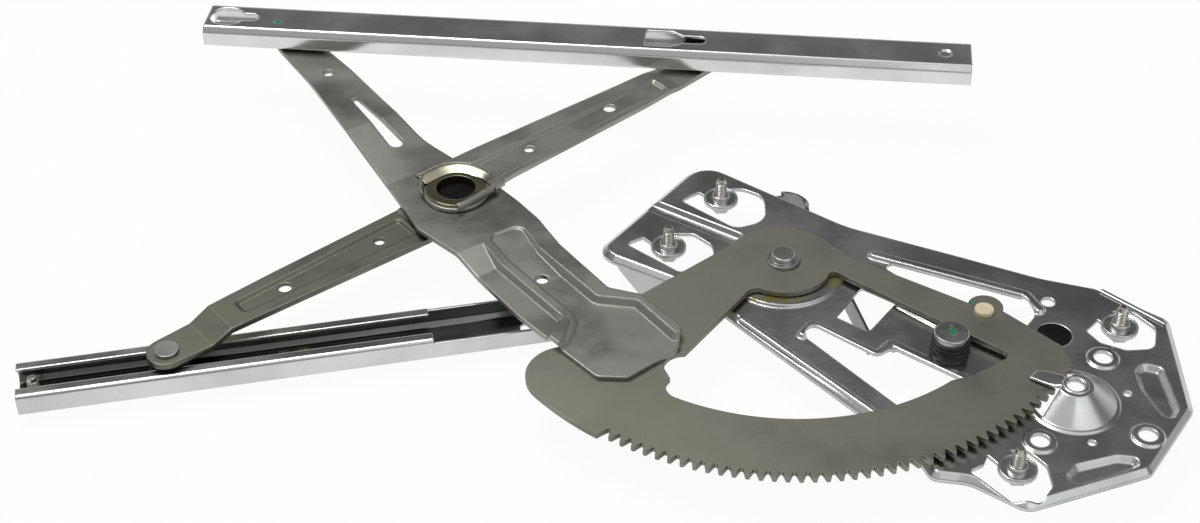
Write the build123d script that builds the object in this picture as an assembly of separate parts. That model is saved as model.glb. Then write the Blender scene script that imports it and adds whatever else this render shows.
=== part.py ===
from build123d import *
import os
from math import asin, atan2, cos, degrees, hypot, pi, radians, sin, tan

# Scissor window regulator, in millimetres. It is drawn about the sector's pivot, with the
# sector's upper face at z = 0, and is moved at the end to stand on the middle of its base.

# Linkage: sector pivot O, crossing P, shoe ends A and C above, B below
arm_reach = 183.0
lower_rail_angle = 11.04
half_opening = 28.32
left_arm_angle = 126.0
right_arm_angle = 41.0

# Toothed sector
gear_module = 2.0
circle_teeth = 160
sector_teeth = 42
pinion_teeth = 11
pinion_angle = 321.6
first_tooth_angle = 232.8
pressure_angle = 20.0
gear_thickness = 3.0
blank_radius = 164.3
rim_inner_radius = 121.7
hub_radius = 29.0
hub_lower_radius = 26.3
button_radius = 5.0
button_rise = 2.6

# Sheets and gaps
plate_thickness = 1.8
arm_thickness = 2.5
balance_thickness = 2.0
rail_thickness = 1.5
strap_thickness = 1.5
slide_gap = 0.3
running_gap = 0.05
arm_gap = 0.5

# Heights of the sheets' upper faces over the sector's upper face
plate_top = -5.0
arm_band_floor = 3.0
arm_cross_top = 6.0
arm_end_top = 11.0
upper_web_top = 12.0
lower_web_top = 0.0
rail_top = 25.5
lower_lip_top = -10.5

# Plate
rim_drop = 2.6
rim_lean = 50.0
boss_radius = 33.0
boss_height = 1.4
flange_drop = 15.0
ridge_height = 1.8
pocket_depth = 2.6
dome_base_radius = 22.0
dome_top_radius = 8.5
dome_top = 6.0
pinion_bore_radius = 4.35
motor_hole_radius = 4.7
motor_ring_radius = 8.6
motor_ring_height = 0.9
mesh_clearance = 4.0
strap_drop = 13.0

# Pivot rivet and washer
pivot_radius = 6.0
pivot_collar_radius = 8.8
pivot_collar_height = 2.0
pivot_head_radius = 6.3
pivot_head_top = 5.0
washer_radius = 15.0

# Stop post and bumper
stop_radius = 103.6
stop_angle = -40.2
stop_neck_radius = 5.0
stop_cap_radius = 8.9
stop_cap_height = 3.0
stop_top = 7.0
bumper_foot_radius = 10.2
bumper_neck_radius = 8.9
bumper_rib = 0.7

# Flange screws
screw_radius = 3.0
screw_neck_radius = 3.3
screw_tip = 7.8
rail_screw_rise = 12.0
screw_flange_radius = 8.5
screw_flange_height = 2.5
hex_radius = 5.6
hex_height = 3.5
tab_radius = 9.5
collar_radius = 4.6
collar_height = 2.6

# Crossing rivet
cross_bore_radius = 10.8
cross_tube_radius = 12.0
cross_flange_radius = 16.4
cross_flange_height = 1.2

# Balance arms
balance_wall = 3.2
balance_end_radius = 10.5
balance_channel_depth = 1.5
balance_seat_radius = 18.2
balance_hole_distances = [51.8, 111.8]
balance_hole_radii = [3.0, 3.7]

# Rails and shoes
rail_width = 28.0
rail_depth = 13.0
rail_lip = 6.7
rail_shoulder = 3.6
rail_step = 1.1
upper_rail_left = 48.0
upper_rail_right = 405.0
lower_rail_left = 76.0
lower_rail_right = 198.0
lower_lips_right = 134.0
rail_screw_place = -68.0
rail_hole_place = 184.0
shoe_length = 20.0
shoe_pin_radius = 4.0
shoe_pin_head_radius = 6.2
shoe_pin_head_height = 2.0
shoe_counterbore = 4.0
keyhole_radius = 9.0
keyhole_slot_radius = 3.8
glass_slot_half_width = 8.0
rail_web_shift = 0.5


def polar(radius, angle):
    return Vector(radius * cos(radians(angle)), radius * sin(radians(angle)), 0)


pitch_radius = gear_module * circle_teeth / 2
mesh_radius = pitch_radius + gear_module + mesh_clearance
tooth_pitch = 360 / circle_teeth
pinion_axis = polar(pitch_radius + gear_module * pinion_teeth / 2, pinion_angle)
lower_arm_angle = 180 + lower_rail_angle + half_opening
pivot = Vector(0, 0, 0)
cross = polar(arm_reach, 180 + lower_rail_angle - half_opening)
left_end = cross + polar(arm_reach, left_arm_angle)
right_end = cross + polar(arm_reach, right_arm_angle)
lower_end = cross + polar(arm_reach, lower_arm_angle)
upper_rail_angle = (left_arm_angle + right_arm_angle) / 2 - 90
lower_web_bottom = lower_lip_top - rail_depth
upper_lip_bottom = rail_top - rail_depth
rail_clear = rail_thickness + slide_gap
shoe_width = rail_width - 2 * rail_clear
shoe_height = rail_depth - rail_shoulder - rail_thickness - rail_clear
shoe_neck_radius = rail_width / 2 - rail_lip - slide_gap
upper_seat_top = arm_cross_top + arm_gap + balance_thickness
lower_seat_top = arm_cross_top - arm_thickness - arm_gap
lower_arm_end_top = lower_lip_top + 3.3 + balance_thickness
boss_top = plate_top + boss_height
stop_axis = polar(stop_radius, stop_angle)
button_axis = Vector(99.5, -43.3, 0)
plug_axis = Vector(133.7, -56.3, 0)
upper_left_screw = Vector(-29.4, 61.8, 0)
lower_left_screw = Vector(-59.7, 19.6, 0)
right_screw = Vector(168.5, -49.8, 0)
bottom_screw = Vector(99.6, -151.6, 0)
screw_axes = [upper_left_screw, lower_left_screw, right_screw, bottom_screw]
motor_axes = [Vector(154.9, -74.6, 0), Vector(165.5, -130.7, 0), Vector(113.1, -133.9, 0)]


def upward(face):
    return face if face.normal_at().Z > 0 else -face


def corners(*points):
    """A face from (x, y, corner radius) points, given in either direction."""
    area = sum(a[0] * b[1] - b[0] * a[1] for a, b in zip(points, points[1:] + points[:1]))
    if area < 0:
        points = points[::-1]
    line = FilletPolyline([(x, y) for x, y, _ in points], radius=[r for _, _, r in points], close=True)
    return make_face(line).face()


def closed(*lines):
    """A face inside lines that follow each other."""
    return upward(make_face(Wire([edge for line in lines for edge in line.edges()])).face())


def slab(face, top, depth):
    """The face with its upper side at the height top."""
    return extrude(Pos(0, 0, top - depth) * face, depth)


def raised(face, base, height, slope=45.0):
    """A mound over the face, whose sides lean in by the slope."""
    return extrude(Pos(0, 0, base) * face, height, taper=slope)


def sunk(face, top, depth, slope=45.0):
    """The cutter for a dish below the height top, whose sides lean in by the slope."""
    return extrude(Pos(0, 0, top) * face, depth, dir=(0, 0, -1), taper=slope)


def skin(form, thickness):
    """The sheet that lies over a form, with an even thickness along z."""
    return form - Pos(0, 0, -thickness) * form


def disc(axis, radius):
    return Pos(axis.X, axis.Y, 0) * Circle(radius)


def pillar(axis, radius, low, high):
    return Pos(axis.X, axis.Y, low) * extrude(Circle(radius), high - low)


def band(start, end, width):
    """A straight band between two points, with rounded ends."""
    run = Vector(end[0] - start[0], end[1] - start[1], 0)
    turn = degrees(atan2(run.Y, run.X))
    place = Pos((start[0] + end[0]) / 2, (start[1] + end[1]) / 2, 0) * Rot(0, 0, turn)
    return place * SlotCenterToCenter(run.length, width)


def ridge(points, width, base, height):
    """A rounded bead that follows the points."""
    pieces = [raised(band(a, b, width), base, height, 40) for a, b in zip(points, points[1:])]
    return sum(pieces[1:], pieces[0])


# Toothed sector


def tooth_points(angle):
    """Root, flank and tip corners of one tooth, in the order of rising angle."""
    lean = tan(radians(pressure_angle))
    dedendum = 1.25 * gear_module
    half = gear_module * pi / 4
    low = (pitch_radius - dedendum, half + dedendum * lean)
    high = (pitch_radius + gear_module, half - gear_module * lean)
    sides = [(low[0], -low[1]), (high[0], -high[1]), high, low]
    return [polar(hypot(r, w), angle + degrees(asin(w / r))) for r, w in sides]


def tooth_edge():
    """The toothed edge, from the tip that ends the blank's lobe to the last tooth."""
    points = []
    for index in range(sector_teeth):
        points += tooth_points(first_tooth_angle + index * tooth_pitch)
    return points[2:]


def sector_blank():
    """Sector outline without its window: lobe, toothed rim, nose, spokes and hub."""
    teeth = tooth_edge()
    lobe_end = polar(blank_radius, 218.0)
    return closed(
        Polyline(*teeth),
        Polyline(teeth[-1], (137.4, -85.5), (134.6, -70.5), (109.2, -43.0)),
        ThreePointArc((109.2, -43.0), (102.6, -30.4), (92.4, -36.1)),
        Polyline((92.4, -36.1), (35.6, 2.4), (24.0, 16.3)),
        ThreePointArc((24.0, 16.3), polar(hub_radius, 90), (-24.5, 15.5)),
        Polyline((-24.5, 15.5), (-76.5, -27.6), (-118.2, -67.4)),
        ThreePointArc((-118.2, -67.4), (-134.2, -88.0), lobe_end),
        ThreePointArc(lobe_end, polar(blank_radius, 226.0), polar(blank_radius, 232.9)),
        Line(polar(blank_radius, 232.9), teeth[0]),
    )


def sector_window():
    """The opening inside the rim, with the two bites that meet the stop."""
    low_right = polar(rim_inner_radius, 308.5)
    low_left = polar(rim_inner_radius, 240.0)
    return closed(
        ThreePointArc(low_left, polar(rim_inner_radius, 272), low_right),
        Polyline(low_right, (88.0, -91.0), (103.2, -80.6)),
        ThreePointArc((103.2, -80.6), (106.2, -76.4), (103.8, -72.6)),
        Line((103.8, -72.6), (29.0, -11.4)),
        ThreePointArc((29.0, -11.4), (25.2, -9.8), (22.6, -13.4)),
        ThreePointArc((22.6, -13.4), polar(hub_lower_radius, 278), (-14.0, -22.3)),
        ThreePointArc((-14.0, -22.3), (-18.2, -23.4), (-21.2, -26.6)),
        Line((-21.2, -26.6), (-54.5, -72.6)),
        ThreePointArc((-54.5, -72.6), (-62.6, -75.8), (-65.4, -84.0)),
        Line((-65.4, -84.0), (-62.6, -91.6)),
        ThreePointArc((-62.6, -91.6), (-65.0, -98.6), low_left),
    )


def make_sector_gear():
    gear = slab(sector_blank() - sector_window(), 0, gear_thickness)
    gear -= pillar(pivot, pivot_radius + running_gap, -gear_thickness, 0)
    gear -= pillar(button_axis, button_radius - 1.0, -gear_thickness, 0)
    return gear


def make_guide_button():
    stem = pillar(button_axis, button_radius - 1.0, -gear_thickness, 0)
    head = pillar(button_axis, button_radius, 0, button_rise)
    head = fillet(head.edges().group_by(Axis.Z)[-1], 1.2)
    return stem + head


# Arms


def sloped_block(start, direction, profile, depth):
    """A wide block whose top follows (distance, height) points along a direction in plan."""
    turn = degrees(atan2(direction.Y, direction.X))
    floor = min(height for _, height in profile) - depth
    points = profile + [(profile[-1][0], floor), (profile[0][0], floor)]
    side = make_face(Polyline(*points, close=True))
    block = extrude(Plane.XZ * side, 150, both=True)
    return Pos(start.X, start.Y, 0) * Rot(0, 0, turn) * block


def on_arm(angle, distance, left):
    """A place at a distance from the crossing along an arm, and to the left of its middle line."""
    return cross + polar(distance, angle) + polar(left, angle + 90)


def lift_corner(distance, left, radius):
    """A corner placed along the lift arm, from the crossing."""
    place = on_arm(left_arm_angle, distance, left)
    return place.X, place.Y, radius


def lift_arm_outline():
    """Corners by the shoe and the crossing follow the linkage, those by the sector stay on it."""
    return corners(
        lift_corner(arm_reach + 4.6, 8.7, 8),
        lift_corner(arm_reach + 1.5, -12.6, 9),
        lift_corner(arm_reach - 50.0938, -13.3008, 60),
        lift_corner(94.0567, -11.6504, 60),
        lift_corner(49.5978, -10.7452, 60),
        lift_corner(9.2834, -20.6384, 30),
        lift_corner(-26.8881, -22.7878, 20),
        lift_corner(-45.8935, -22.5764, 20),
        lift_corner(-70.4515, -18.9488, 40),
        (-92.5, -28.0, 5),
        (-76.0, -33.5, 3),
        (-56.0, -58.5, 3),
        (-57.5, -72.0, 4),
        (-83.5, -93.5, 5),
        (-99.0, -92.5, 5),
        (-121.5, -66.5, 4),
        (-138.5, -46.6, 30),
        lift_corner(-44.1169, 29.0366, 30),
        lift_corner(-14.2917, 34.1900, 8),
        lift_corner(4.4065, 30.4934, 12),
        lift_corner(27.2440, 26.8797, 30),
        lift_corner(77.0943, 21.3159, 60),
        lift_corner(arm_reach - 44.7464, 12.6034, 60),
    )


def lift_arm_floor():
    """The dish from the arm's middle down to where it lies on the sector."""
    return corners(
        lift_corner(-42.0777, 8.0251, 5),
        lift_corner(-65.8999, 10.6237, 10),
        (-110.6, -49.5, 4),
        (-115.0, -67.5, 0),
        (-128.0, -84.0, 0),
        (-110.0, -110.0, 0),
        (-40.0, -110.0, 0),
        (-40.0, -60.0, 0),
        (-59.3, -63.5, 0),
        (-77.5, -38.0, 3),
        (-98.3, -34.5, 4),
        lift_corner(-66.7068, -8.6907, 8),
        lift_corner(-43.9502, -12.2457, 6),
    )


def lift_arm_side_band():
    """The lower band beside the arm's rib, which runs out over the arm's left edge."""
    return corners(
        lift_corner(-41.5064, 12.5543, 3),
        lift_corner(-65.6522, 15.3880, 10),
        (-115.4, -50.8, 4),
        (-118.6, -62.5, 2),
        (-134.0, -74.0, 0),
        (-150.0, -52.0, 0),
        lift_corner(-38.9767, 42.2361, 0),
        lift_corner(-27.0562, 21.2147, 0),
    )


def make_lift_arm():
    start = Vector(-85.0, -80.0, 0)
    along = cross - start
    reach = along.length
    top = arm_cross_top
    profile = [(-40, top), (reach + 28, top), (reach + 80, arm_end_top), (reach + 240, arm_end_top)]
    rise = reach - 31.5721
    floor = [(-80, arm_thickness), (rise - 58, arm_thickness), (rise, top), (rise + 1, top + 1), (260, top + 1)]
    side_floor = [(-80, arm_band_floor), (rise - 34, arm_band_floor)]
    side_floor += [(rise - 14, top), (rise - 13, top + 1), (260, top + 1)]
    form = slab(lift_arm_outline(), 30, 60) & sloped_block(start, along, profile, 12)
    dish = sunk(lift_arm_floor(), top, top - arm_thickness, 38)
    side_dish = sunk(lift_arm_side_band(), top, top - arm_band_floor, 38)
    form -= dish - sloped_block(start, along, floor, 12)
    form -= side_dish - sloped_block(start, along, side_floor, 12)
    sheet = skin(form, arm_thickness)
    sheet -= pillar(cross, cross_tube_radius + running_gap, -20, 30)
    sheet -= pillar(Vector(-126.8, -17.0, 0), 3.4, -20, 30)
    sheet -= pillar(on_arm(left_arm_angle, arm_reach - 45.4238, -0.7484), 3.2, -20, 30)
    sheet -= slab(arm_slot(), 30, 60)
    sheet -= pillar(left_end, shoe_pin_radius, -20, 40)
    return sheet


def arm_slot():
    """The slot that widens along the lift arm."""
    narrow, wide = on_arm(left_arm_angle, 106.0273, 0.9128), on_arm(left_arm_angle, 56.9065, 3.2273)
    across = (wide - narrow).rotate(Axis.Z, 90).normalized()
    tip = wide + (wide - narrow).normalized() * 4.2
    a, b = narrow + across * 1.8, wide + across * 4.2
    c, d = wide - across * 4.2, narrow - across * 1.8
    return closed(Polyline(a, b), ThreePointArc(b, tip, c), Polyline(c, d, a))


def balance_outline(angle, sides, inset=0.0):
    """Arm outline from the crossing's round end to a shoe end, from (distance, left, right) rows."""
    left = [on_arm(angle, d, l - inset) for d, l, _ in sides]
    right = [on_arm(angle, d, inset - r) for d, _, r in reversed(sides)]
    tip = on_arm(angle, arm_reach + balance_end_radius - inset, 0)
    back = on_arm(angle, inset - balance_seat_radius, (sides[0][1] - sides[0][2]) / 2)
    return closed(
        Polyline(*left),
        ThreePointArc(left[-1], tip, right[0]),
        Polyline(*right),
        ThreePointArc(right[-1], back, left[0]),
    )


def arm_patch(angle, *rows):
    """A face from (distance, left, corner radius) rows along an arm."""
    points = [(on_arm(angle, distance, left), r) for distance, left, r in rows]
    return corners(*[(point.X, point.Y, r) for point, r in points])


def make_balance_arm(angle, sides, profile, dishes):
    """Pressed arm: its top follows the profile, its edges turn down, its dishes are cut from its form."""
    block = sloped_block(cross, polar(1, angle), profile, 12)
    outline = balance_outline(angle, sides)
    inset = balance_outline(angle, sides, balance_thickness)
    form = slab(outline, 30, 60) & block
    for dish in dishes:
        form -= dish
    sheet = form - Pos(0, 0, -balance_thickness) * (form & slab(inset, 30, 60))
    sheet -= slab(outline - inset, 30, 60) & Pos(0, 0, -balance_wall) * block
    for distance, radius in zip(balance_hole_distances, balance_hole_radii):
        sheet -= pillar(cross + polar(distance, angle), radius, -30, 40)
    return sheet - pillar(cross + polar(arm_reach, angle), shoe_pin_radius, -30, 40)


def make_upper_balance_arm():
    """Upper half: a channel, and a round dish around the crossing that is open to the left."""
    angle = right_arm_angle
    sides = [(-6, 20.8, 16.0), (30, 19.5, 13.5), (130, 12.8, 12.5), (arm_reach, 10.0, 9.5)]
    web, end = upper_web_top, arm_end_top
    profile = [(-60, web), (arm_reach - 34, web), (arm_reach - 26, end), (arm_reach + 40, end)]
    channel = arm_patch(angle, (8, 9.5, 0), (149, 3.5, 2), (149, -8.6, 2), (60, -10.6, 20), (8, -10.8, 0))
    mouth = arm_patch(angle, (-60, 7.0, 0), (2, 7.0, 0), (2, -60, 0), (-60, -60, 0))
    dishes = [
        sunk(channel, web, balance_channel_depth, 50),
        sunk(disc(cross, balance_seat_radius + 1.6), web, web - upper_seat_top, 35),
        slab(mouth, web + 1, web - upper_seat_top + 1),
    ]
    arm = make_balance_arm(angle, sides, profile, dishes)
    arm -= pillar(cross, 30, -20, upper_seat_top - balance_thickness)
    arm += pillar(cross, balance_seat_radius, upper_seat_top - balance_thickness, upper_seat_top)
    return arm - pillar(cross, cross_tube_radius, -20, 30)


def make_lower_balance_arm():
    """Lower half: a raised seat at the crossing, a channel, and an end that steps down to the rail."""
    angle = lower_arm_angle
    sides = [(0, 18.4, 18.4), (30, 17.0, 14.8), (110, 13.5, 13.2), (arm_reach, 10.4, 10.4)]
    web, seat, end = lower_web_top, lower_seat_top, lower_arm_end_top
    profile = [(-40, seat), (18, seat), (30, web)]
    profile += [(arm_reach - 32, web), (arm_reach - 20, end), (arm_reach + 40, end)]
    channel = arm_patch(angle, (33, 9.0, 3), (140, 5.5, 3), (140, -5.5, 3), (33, -9.0, 3))
    arm = make_balance_arm(angle, sides, profile, [sunk(channel, web, balance_channel_depth, 50)])
    return arm - pillar(cross, cross_tube_radius, -20, 30)


def make_cross_rivet():
    top = upper_seat_top
    bottom = lower_seat_top - balance_thickness
    tube = pillar(cross, cross_tube_radius, bottom, top)
    upper = pillar(cross, cross_flange_radius, top, top + cross_flange_height)
    upper = chamfer(upper.edges().group_by(Axis.Z)[-1], 0.5)
    lower = pillar(cross, cross_flange_radius - 1.4, bottom - cross_flange_height, bottom)
    return tube + upper + lower - pillar(cross, cross_bore_radius, bottom - 5, top + 5)


def make_cross_bush():
    """Black bush that closes the hollow rivet."""
    bottom = lower_seat_top - balance_thickness - cross_flange_height
    return pillar(cross, cross_bore_radius, bottom, bottom + 5.0)


# Rails and shoes


def channel_face():
    """Section that opens downward with its web's outer side at height 0: two lips, two walls, a
    sloped shoulder at the back and a stepped one at the front."""
    half = rail_width / 2
    wall = half - rail_thickness
    low = rail_thickness - rail_depth
    under = -rail_thickness
    outer = corners(
        (-half, -rail_depth, 2.3),
        (-half, -rail_shoulder, 1.2),
        (3.0 - half, 0, 1.5),
        (half - 2.6, 0, 0.8),
        (half - 2.0, -rail_step, 0.3),
        (half, -rail_step, 1.0),
        (half, -rail_depth, 2.3),
    )
    inner = corners(
        (-wall, low, 0.8),
        (-wall, -rail_shoulder - 0.5, 0.8),
        (2.2 - wall, under, 0.8),
        (wall - 2.6, under, 0.5),
        (wall - 2.0, under - rail_step, 0.3),
        (wall, under - rail_step, 0.3),
        (wall, low, 0.8),
    )
    mouth = Pos(0, -rail_depth) * Rectangle(rail_width - 2 * rail_lip, 4 * rail_thickness)
    return outer - inner - mouth


def rail_place(end, angle):
    return Pos(end.X, end.Y, 0) * Rot(0, 0, angle)


def rail_window(left, right, half_width):
    return Pos((left + right) / 2, 0) * SlotOverall(right - left, 2 * half_width)


def make_upper_rail():
    bar = extrude(Plane.YZ * channel_face(), upper_rail_left + upper_rail_right)
    bar = Pos(-upper_rail_left, 0, rail_top) * bar
    half = glass_slot_half_width
    glass_slot = corners(
        (215.0, half, 1), (231.0, half, 6), (239.0, 2.5, 2),
        (239.0, -2.5, 2), (231.0, -half, 6), (215.0, -half, 1),
    )
    cuts = [
        rail_window(-46.5, -25.5, keyhole_radius),
        rail_window(-40.0, -17.0, keyhole_slot_radius),
        glass_slot,
        rail_window(232.0, 250.5, keyhole_slot_radius),
    ]
    for cut in cuts:
        bar -= slab(Pos(0, rail_web_shift) * cut, rail_top + 1, 4)
    bar -= sunk(Pos(390.0, rail_web_shift) * Circle(4.0), rail_top, 0.9)
    return rail_place(left_end, upper_rail_angle) * bar


def make_lower_rail():
    bar = extrude(Plane.YZ * Rot(0, 0, 180) * channel_face(), lower_rail_left + lower_rail_right)
    bar = Pos(-lower_rail_left, 0, lower_web_bottom) * bar
    bare = lower_rail_right - lower_lips_right
    cut = Pos(lower_lips_right + bare, 0) * Rectangle(2 * bare, 2 * rail_width)
    bar -= slab(cut, lower_lip_top + 1, 3.0)
    for place in (rail_screw_place, rail_hole_place):
        hole = pillar(pivot, screw_neck_radius, lower_web_bottom - 1, lower_web_bottom + 5)
        bar -= Pos(place, 0, 0) * hole
    return rail_place(lower_end, lower_rail_angle) * bar


def make_shoe(end, angle, low, neck, sink):
    """Slider: a block that starts at height low, a neck towards the arm, a pin bore and a counterbore."""
    body = extrude(Pos(0, 0, low) * RectangleRounded(shoe_length, shoe_width, 5), shoe_height)
    body = chamfer(body.edges().filter_by(Plane.XY), 0.8)
    body += pillar(pivot, shoe_neck_radius, neck[0], neck[1])
    body -= pillar(pivot, shoe_pin_radius + running_gap, low - 20, low + shoe_height + 20)
    body -= pillar(pivot, shoe_pin_head_radius + slide_gap, sink[0], sink[1])
    return rail_place(end, angle) * body


def make_upper_shoe(end):
    low = upper_lip_bottom + rail_clear
    step = low + shoe_counterbore
    return make_shoe(end, upper_rail_angle, low, (arm_end_top, low + 1), (step, rail_top))


def make_lower_shoe():
    high = lower_lip_top - rail_clear
    low = high - shoe_height
    step = high - shoe_counterbore
    neck = (high - 1, lower_arm_end_top - balance_thickness)
    return make_shoe(lower_end, lower_rail_angle, low, neck, (low - 5, step))


def make_pin(axis, head, shank, tail):
    """Rivet from its head's heights, its shank's heights and its tail's heights."""
    return (
        pillar(axis, shoe_pin_head_radius, head[0], head[1])
        + pillar(axis, shoe_pin_radius, shank[0], shank[1])
        + pillar(axis, shoe_pin_head_radius, tail[0], tail[1])
    )


def make_upper_pin(end, thickness):
    step = upper_lip_bottom + rail_clear + shoe_counterbore + running_gap
    under = arm_end_top - thickness
    return make_pin(end, (step, step + shoe_pin_head_height), (under, step), (under - 1.1, under))


def make_lower_pin():
    step = lower_lip_top - rail_clear - shoe_counterbore - running_gap
    top = lower_arm_end_top
    return make_pin(lower_end, (step - shoe_pin_head_height, step), (step, top), (top, top + 1.8))


# Mounting plate


def plate_outline():
    return corners(
        (-98.0, 18.5, 9),
        (-38.5, 97.5, 16),
        (38.4, 37.6, 60),
        (93.5, 11.9, 0),
        (135.2, -8.1, 60),
        (163.0, -17.3, 10),
        (195.3, -43.0, 6),
        (192.3, -111.5, 7),
        (162.6, -154.6, 7),
        (100.4, -177.2, 9),
        (76.0, -158.6, 20),
        (58.5, -155.6, 6),
        (52.0, -138.0, 7),
        (-31.5, -36.5, 12),
        (-58.0, -10.0, 20),
        (-90.0, 10.0, 7),
    )


def upper_left_opening():
    return corners(
        (-51.5, 60.0, 2), (-46.0, 64.5, 2), (-38.0, 69.5, 2), (-17.0, 70.0, 8), (-5.5, 63.0, 10),
        (-6.0, 40.5, 12), (-23.0, 34.5, 8),
    )


def lower_left_opening():
    return corners(
        (-82.5, 22.0, 2), (-75.0, 26.5, 2), (-68.0, 30.5, 3), (-46.0, 30.0, 5), (-36.5, 20.0, 5),
        (-35.5, 12.0, 4), (-53.8, -3.4, 4),
    )


def right_opening():
    return corners(
        (150.5, -53.0, 2), (158.0, -45.0, 3), (160.0, -38.0, 2), (177.0, -38.5, 6), (186.5, -52.0, 6),
        (182.5, -67.5, 6), (168.0, -68.5, 5), (156.0, -62.5, 2),
    )


def bottom_opening():
    return corners(
        (76.0, -153.5, 2), (84.0, -149.0, 3), (88.0, -140.0, 3), (106.0, -139.5, 5), (113.5, -150.0, 5),
        (114.0, -164.0, 5), (107.0, -174.0, 5), (94.0, -172.0, 5),
    )


def bolt_tab(axis, angle):
    """Round tab with a tongue that joins it to the plate in the angle's direction."""
    tongue = Pos(axis.X, axis.Y, 0) * Rot(0, 0, angle) * Pos(10, 0, 0) * Rectangle(20, 11)
    return disc(axis, tab_radius) + tongue


def triangle_opening():
    return corners(
        (46.0, 8.0, 3), (124.5, -28.0, 6), (127.5, -40.0, 8), (113.0, -60.0, 4), (98.0, -50.0, 6),
    )


def square_opening():
    return corners((40.1, -16.6, 2), (57.0, -29.3, 2), (39.9, -52.6, 3), (24.2, -40.4, 2))


def strut_opening():
    return corners(
        (5.0, -53.0, 5), (12.5, -48.0, 4), (42.0, -72.5, 4), (51.0, -66.0, 4), (88.5, -95.5, 5),
        (96.0, -108.0, 6), (62.0, -125.0, 8),
    )


def right_pocket():
    return corners(
        (168.8, -82.0, 4), (175.0, -78.5, 4), (183.2, -81.5, 4), (185.0, -112.0, 4), (181.0, -119.0, 3),
        (175.5, -117.0, 4), (169.0, -97.0, 8),
    )


def bottom_pocket():
    return corners(
        (121.5, -155.5, 4), (127.0, -149.5, 5), (148.0, -143.3, 8), (157.5, -145.0, 3), (158.0, -151.0, 3),
        (145.0, -156.4, 10), (128.6, -162.4, 5), (121.8, -161.5, 4),
    )


def dome():
    """Cone over the pinion with a collar at its top."""
    rise = dome_top - plate_top
    slope = degrees(atan2(dome_base_radius - dome_top_radius, rise))
    cone = raised(disc(pinion_axis, dome_base_radius), plate_top, rise, slope)
    foot = raised(disc(pinion_axis, dome_base_radius + 1.5), plate_top, 0.7, 60)
    return cone + foot


def plate_form():
    base = plate_top - rim_drop
    outline = plate_outline()
    form = slab(outline, base, 8) + raised(outline, base, rim_drop, rim_lean)
    form += raised(disc(pivot, boss_radius), plate_top, boss_height, 30)
    form += ridge([(49.5, 9.5), (124.0, -24.5), (129.5, -37.0)], 7.0, plate_top, ridge_height)
    strut = [(6.5, -54.0), (12.0, -46.5), (42.5, -71.0), (50.5, -62.5), (89.0, -93.0)]
    form += ridge(strut, 7.0, plate_top, ridge_height)
    form += ridge([(-24.0, -41.5), (38.0, -114.0)], 4.0, plate_top, 1.0)
    form += ridge([(58.0, -32.5), (76.0, -49.0)], 4.0, plate_top, 1.0)
    for axis in motor_axes:
        form += raised(disc(axis, motor_ring_radius), plate_top, motor_ring_height, 50)
    form += dome()
    form -= sunk(band((-70.0, 57.5), (-24.0, 26.5), 10.0), plate_top, 2.8, 35)
    form -= sunk(right_pocket(), plate_top, pocket_depth, 45)
    form -= sunk(bottom_pocket(), plate_top, pocket_depth, 45)
    return form


def plate_openings():
    return [
        upper_left_opening() - bolt_tab(upper_left_screw, 130),
        lower_left_opening() - bolt_tab(lower_left_screw, 130),
        right_opening() - bolt_tab(right_screw, 125),
        bottom_opening() - bolt_tab(bottom_screw, 125),
        triangle_opening(),
        square_opening(),
        strut_opening(),
        disc(Vector(135.2, -30.2, 0), 3.6),
        disc(Vector(161.8, -100.8, 0), 2.0),
        disc(Vector(137.7, -135.2, 0), 2.0),
        disc(plug_axis, 9.0),
        disc(pinion_axis, dome_base_radius - 2.0) & disc(pivot, mesh_radius),
    ]


def corner_flange():
    """Wall that turns down along the plate's lower left edge, deep but for its cut-away left end."""
    start, end = Vector(-88.0, 8.7, 0), Vector(-58.5, -9.5, 0)
    run = end - start
    side = [(0, 0), (run.length, 0), (run.length, -flange_drop), (14, -flange_drop), (2, -4)]
    wall = extrude(Plane.XZ * make_face(Polyline(*side, close=True)), plate_thickness)
    turn = degrees(atan2(run.Y, run.X))
    return Pos(start.X, start.Y, plate_top - rim_drop) * Rot(0, 0, turn) * Pos(0, plate_thickness, 0) * wall


def make_mounting_plate():
    sheet = skin(plate_form(), plate_thickness)
    for opening in plate_openings():
        sheet -= slab(opening, 30, 60)
    under_gear = pillar(pivot, mesh_radius, plate_top + 0.6, 30)
    sheet -= under_gear & pillar(pinion_axis, dome_base_radius + 3, plate_top, 30)
    for axis in screw_axes:
        sheet += pillar(axis, collar_radius, plate_top, plate_top + collar_height)
        sheet -= pillar(axis, screw_neck_radius, -30, 30)
    for axis in motor_axes:
        sheet -= pillar(axis, motor_hole_radius, -30, 30)
    sheet -= pillar(pinion_axis, pinion_bore_radius, -30, 30)
    sheet -= pillar(pivot, pivot_radius, -30, 30)
    sheet -= pillar(stop_axis, stop_neck_radius, -30, 30)
    sheet += corner_flange()
    return sheet


def make_pivot_rivet():
    under = plate_top - plate_thickness
    rivet = pillar(pivot, pivot_radius, under, pivot_collar_height)
    rivet += pillar(pivot, pivot_collar_radius, running_gap, pivot_collar_height)
    rivet += pillar(pivot, pivot_head_radius, pivot_collar_height, pivot_head_top)
    rivet = chamfer(rivet.edges().group_by(Axis.Z)[-1], 0.8)
    return rivet + pillar(pivot, pivot_radius + 3.5, boss_top - plate_thickness - 3.0, boss_top - plate_thickness)


def make_pivot_washer():
    return pillar(pivot, washer_radius, boss_top, -gear_thickness) - pillar(pivot, pivot_radius, -10, 10)


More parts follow.
